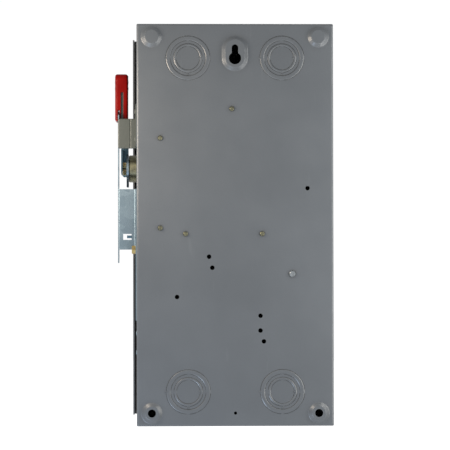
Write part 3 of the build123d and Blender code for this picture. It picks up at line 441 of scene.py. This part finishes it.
def solidBoxes(node):
    # the lowest and highest corner of each separate solid of a node
    bm = bmesh.new()
    bm.from_mesh(nodes[node].data)
    bmesh.ops.remove_doubles(bm, verts=bm.verts, dist=0.005 * mm)
    unseen = set(bm.verts)
    boxes = []
    while unseen:
        queue = [unseen.pop()]
        places = []
        while queue:
            vertex = queue.pop()
            places.append(vertex.co.copy())
            for edge in vertex.link_edges:
                other = edge.other_vert(vertex)
                if other in unseen:
                    unseen.remove(other)
                    queue.append(other)
        boxes.append(tuple(Vector([pick(p[i] for p in places) for i in range(3)]) for pick in (min, max)))
    bm.free()
    return sorted(boxes, key=lambda pair: (round(pair[0].z, 5), round(pair[0].y, 5), round(pair[0].x, 5)))


def spinProfile(bm, points, start, axis, steps=32):
    # points are (distance along the axis, radius); the profile is turned once round the axis
    side = zAxis if abs(axis.z) < 0.5 else xAxis
    verts = [bm.verts.new(start + axis * along + side * radius) for along, radius in points]
    edges = [bm.edges.new(pair) for pair in zip(verts, verts[1:])]
    bmesh.ops.spin(bm, geom=verts + edges, cent=start, axis=axis, angle=2 * math.pi, steps=steps,
                   use_merge=True)


def addMesh(bm, other):
    mesh = bpy.data.meshes.new("part")
    other.to_mesh(mesh)
    other.free()
    bm.from_mesh(mesh)
    bpy.data.meshes.remove(mesh)


thread = {"pitch": 0.8, "steps": 20, "depth": 0.28}


def addThread(bm, start, axis, length, root, pitch, depth, steps):
    # one turn's profile wound up the axis, then cut square and closed at both ends
    side = zAxis if abs(axis.z) < 0.5 else xAxis
    turns = math.ceil(length / pitch) + 2
    coil = bmesh.new()
    first = start - axis * pitch * 1.5
    rise = ((0.0, root), (0.38, root + depth), (0.62, root + depth), (1.0, root))
    verts = [coil.verts.new(first + axis * along * pitch + side * radius) for along, radius in rise]
    edges = [coil.edges.new(pair) for pair in zip(verts, verts[1:])]
    bmesh.ops.spin(coil, geom=verts + edges, cent=start, axis=axis, angle=2 * math.pi * turns,
                   steps=turns * steps, dvec=axis * pitch / steps)
    bmesh.ops.remove_doubles(coil, verts=coil.verts, dist=pitch * 0.01)
    for place, outward in ((start, -axis), (start + axis * length, axis)):
        bmesh.ops.bisect_plane(coil, geom=coil.verts[:] + coil.edges[:] + coil.faces[:], plane_co=place,
                               plane_no=outward, clear_outer=True)
        rim = [edge for edge in coil.edges if edge.is_boundary
               and all(abs((vertex.co - place).dot(axis)) < pitch * 0.01 for vertex in edge.verts)]
        bmesh.ops.holes_fill(coil, edges=rim, sides=0)
    addMesh(bm, coil)


# shares: the flat end face against the flats, and a bore's countersink against the bore
hexHead = {"endFace": 0.95, "cone": 30, "sinkRadius": 1.22, "sinkDepth": 0.22}


def addHexHead(bm, seat, axis, flats, height, bore=0.0, segments=48):
    # corners turned off at the free end by a 30 degree cone, with a countersunk bore in a nut
    face = flats / 2 * hexHead["endFace"]
    side, up = yAxis, axis.cross(yAxis)
    corner = math.pi / 3

    def across(angle):
        return flats / 2 / math.cos(angle % corner - corner / 2)

    def ring(radius, along):
        made = []
        for n in range(segments):
            angle = 2 * math.pi * n / segments
            r = across(angle) if radius is None else radius
            drop = (r - face) * math.tan(math.radians(hexHead["cone"])) if radius is None and along else 0.0
            outward = side * math.cos(angle) + up * math.sin(angle)
            made.append(bm.verts.new(seat + outward * r + axis * (along - drop)))
        return [bm.edges.new((made[n - 1], made[n])) for n in range(segments)]

    rings = [ring(None, 0.0), ring(None, height), ring(face, height)]
    if bore:
        sunk = height - bore * hexHead["sinkDepth"]
        rings += [ring(bore * hexHead["sinkRadius"], height), ring(bore, sunk), ring(bore, 0.0)]
    for lower, upper in zip(rings, rings[1:]):
        bmesh.ops.bridge_loops(bm, edges=lower + upper)
    if bore:
        bmesh.ops.bridge_loops(bm, edges=rings[-1] + rings[0])
    else:
        bmesh.ops.holes_fill(bm, edges=rings[0], sides=0)
        bmesh.ops.holes_fill(bm, edges=rings[-1], sides=0)


# millimetres: rim and slotTop are heights above the lower end, the others are depths from the outer face
grip = {"wall": 2.6, "rim": 11.2, "slotTop": 29.4, "slot": (8.4, 5.8), "groove": (4.65, 2.65),
        "cornerRound": 5.0, "sideRound": 2.4, "edgeRound": 0.35}
touching = 0.001 * mm


def nearVertex(bm, x, y, z):
    return min(bm.verts, key=lambda vertex: (vertex.co - Vector((x, y, z))).length)


def makeGrip():
    # a solid head over a slot for the lever's tongue and a narrow groove for the guard's rim
    low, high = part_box("handle_grip")
    front = low.y + grip["wall"] * mm
    rim, top = [low.z + grip[key] * mm for key in ("rim", "slotTop")]
    back, face = [high.x - depth * mm for depth in grip["slot"]]
    grooveIn, grooveOut = [high.x - depth * mm for depth in grip["groove"]]
    outline = [(high.x, low.z), (high.x, high.z), (low.x, high.z), (low.x, low.z),
               (back, low.z), (back, top), (face, top), (face, low.z),
               (grooveIn, low.z), (grooveIn, rim), (grooveOut, rim), (grooveOut, low.z)]
    bm = bmesh.new()
    last = bm.faces.new([bm.verts.new((x, high.y, z)) for x, z in outline])
    for depth, keep in ((front, True), (low.y, False)):
        made = bmesh.ops.extrude_face_region(bm, geom=[last], use_keep_orig=keep)
        for item in made["geom"]:
            if isinstance(item, bmesh.types.BMVert):
                item.co.y = depth
        last = next(item for item in made["geom"] if isinstance(item, bmesh.types.BMFace))
    # the front wall runs unbroken across the slot
    for side in list(bm.faces):
        middle = side.calc_center_median()
        inSlot = back - touching < middle.x < face + touching and middle.y < front - touching
        if inSlot and abs(side.normal.y) < 0.5:
            bmesh.ops.delete(bm, geom=[side], context="FACES_ONLY")
    for y in (front, low.y):
        sides = ((back, low.z), (back, top), (face, top), (face, low.z))
        bm.faces.new([nearVertex(bm, x, y, z) for x, z in sides])
    foot = ((back, front), (back, low.y), (face, low.y), (face, front))
    bm.faces.new([nearVertex(bm, x, y, low.z) for x, y in foot])
    bmesh.ops.recalc_face_normals(bm, faces=bm.faces)

    def onPlane(edge, axis, level):
        return all(abs(vertex.co[axis] - level) < touching for vertex in edge.verts)

    crown = [edge for edge in bm.edges if onPlane(edge, 2, high.z)
             and (onPlane(edge, 1, low.y) or onPlane(edge, 1, high.y))]
    bmesh.ops.bevel(bm, geom=crown, offset=grip["cornerRound"] * mm, segments=8, profile=0.5,
                    affect="EDGES", material=-1, clamp_overlap=True)
    sides = [edge for edge in bm.edges if (onPlane(edge, 0, low.x) or onPlane(edge, 0, high.x))
             and edge.calc_face_angle(0.0) > 0.7]
    bmesh.ops.bevel(bm, geom=sides, offset=grip["sideRound"] * mm, segments=6, profile=0.5,
                    affect="EDGES", material=-1, clamp_overlap=True)
    piece = finishPiece(bm, "gripMoulding", "handle_grip", sharp=50)
    rounded = piece.modifiers.new("edges", "BEVEL")
    rounded.width = grip["edgeRound"] * mm
    rounded.segments = 3
    rounded.limit_method = "ANGLE"
    rounded.angle_limit = math.radians(40)
    return piece


# the shank and the dome's height as shares of the radius, the dome's limit as a share of the length, and
# the dome's profile in shares of its height and radius
rivet = {"shank": 0.55, "dome": 0.32, "domeLimit": 0.3, "steps": 28,
         "profile": ((0.0, 0.0), (0.02, 0.35), (0.2, 0.72), (0.55, 0.93))}


def makeRivets(node, name):
    # domed heads at both ends of each shank
    bm = bmesh.new()
    for low, high in solidBoxes(node):
        radius = (high.y - low.y) / 2
        length = high.x - low.x
        shank = radius * rivet["shank"]
        head = min(rivet["dome"] * radius, rivet["domeLimit"] * length)
        points = [(along * head, radius * out) for along, out in rivet["profile"]]
        points += [(head, radius), (head, shank)]
        mirrored = [(length - along, r) for along, r in reversed(points)]
        start = Vector((low.x, (low.y + high.y) / 2, (low.z + high.z) / 2))
        spinProfile(bm, points + mirrored, start, xAxis, rivet["steps"])
    return finishPiece(bm, name, node)


hubNut = {"bore": 1.62}


def makeHubNut(node, name):
    low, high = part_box(node)
    bm = bmesh.new()
    seat = Vector((low.x, (low.y + high.y) / 2, (low.z + high.z) / 2))
    addHexHead(bm, seat, xAxis, (high.z - low.z), high.x - low.x, hubNut["bore"] * mm)
    return finishPiece(bm, name, node)


guardBolt = {"flats": 8.0, "head": 3.8, "shank": 2.1}


def makeGuardBolt(node, name):
    low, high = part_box(node)
    bm = bmesh.new()
    head = guardBolt["head"] * mm
    seat = Vector((high.x - head, (low.y + high.y) / 2, (low.z + high.z) / 2))
    addHexHead(bm, seat, xAxis, guardBolt["flats"] * mm, head)
    start = Vector((low.x, seat.y, seat.z))
    addThread(bm, start, xAxis, seat.x - low.x, guardBolt["shank"] * mm, thread["pitch"] * mm,
              thread["depth"] * mm, thread["steps"])
    return finishPiece(bm, name, node, sharp=24)


rearTips = {"reach": 3.0, "inset": 0.6, "root": 2.06, "groundShare": 1.34, "depth": 0.22, "pitch": 0.8}


def makeRearThreads(node, name):
    # threads round the screw ends that show through the back panel
    bm = bmesh.new()
    reach, pitch, depth = [rearTips[key] * mm for key in ("reach", "pitch", "depth")]
    share = rearTips["groundShare"] if node == "ground_mount_screw" else 1.0
    root = rearTips["root"] * mm * share
    for low, high in solidBoxes(node):
        middle = (low + high) / 2
        start = Vector((middle.x, high.y - reach - rearTips["inset"] * mm, middle.z))
        addThread(bm, start, yAxis, reach, root, pitch, depth, thread["steps"])
    return finishPiece(bm, name, node, replaced=False, sharp=24)


throwSpring = {"wire": 0.75, "turns": 5.0, "steps": 36}


def makeThrowSpring():
    # closely wound coil round the shaft
    low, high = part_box("throw_spring")
    middle = (low + high) / 2
    wire = throwSpring["wire"] * mm
    radius = (high.y - low.y) / 2 - wire
    length = high.x - low.x - 2 * wire
    bm = bmesh.new()
    start = Vector((low.x + wire, middle.y, middle.z))
    place = Matrix.Translation(start + zAxis * radius) @ Matrix.Rotation(math.radians(90), 4, "X")
    section = bmesh.ops.create_circle(bm, segments=10, radius=wire, matrix=place)
    steps = int(throwSpring["turns"] * throwSpring["steps"])
    bmesh.ops.spin(bm, geom=section["verts"] + bm.edges[:], cent=start, axis=xAxis,
                   angle=2 * math.pi * throwSpring["turns"], steps=steps, dvec=xAxis * length / steps)
    bmesh.ops.holes_fill(bm, edges=[edge for edge in bm.edges if edge.is_boundary], sides=0)
    return finishPiece(bm, "windingSpring", "throw_spring", sharp=50)


# the crown's profile in shares of the button's height and radius
catchButton = {"crown": ((0.0, 0.0), (0.0, 1.0), (0.5, 1.0), (0.82, 0.88),
                         (0.96, 0.6), (1.0, 0.25), (1.0, 0.0))}


def makeCatchButton(node, name):
    low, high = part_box(node)
    radius, height = (high.y - low.y) / 2, high.x - low.x
    points = [(height * along, radius * out) for along, out in catchButton["crown"]]
    bm = bmesh.new()
    start = Vector((low.x, (low.y + high.y) / 2, (low.z + high.z) / 2))
    spinProfile(bm, points, start, xAxis)
    return finishPiece(bm, name, node)


makeGrip()
for node, name in (("box_hinge_rivets", "hingeRivetsFixed"), ("cover_hinge_rivets", "hingeRivetsCover"),
                   ("bracket_rivets", "bracketRivetHeads"), ("grip_rivets", "gripRivetHeads")):
    makeRivets(node, name)
for place in ("upper", "lower"):
    makeHubNut(f"{place}_hub_nut", f"hubNut.{place}")
    makeCatchButton(f"{place}_catch_button", f"catchButton.{place}")
for place in ("rear", "front"):
    makeGuardBolt(f"{place}_guard_bolt", f"guardBolt.{place}")
for node in ("base_screws", "frame_screws", "ground_mount_screw"):
    makeRearThreads(node, f"threads.{node}")
makeThrowSpring()
print("pieces are made")
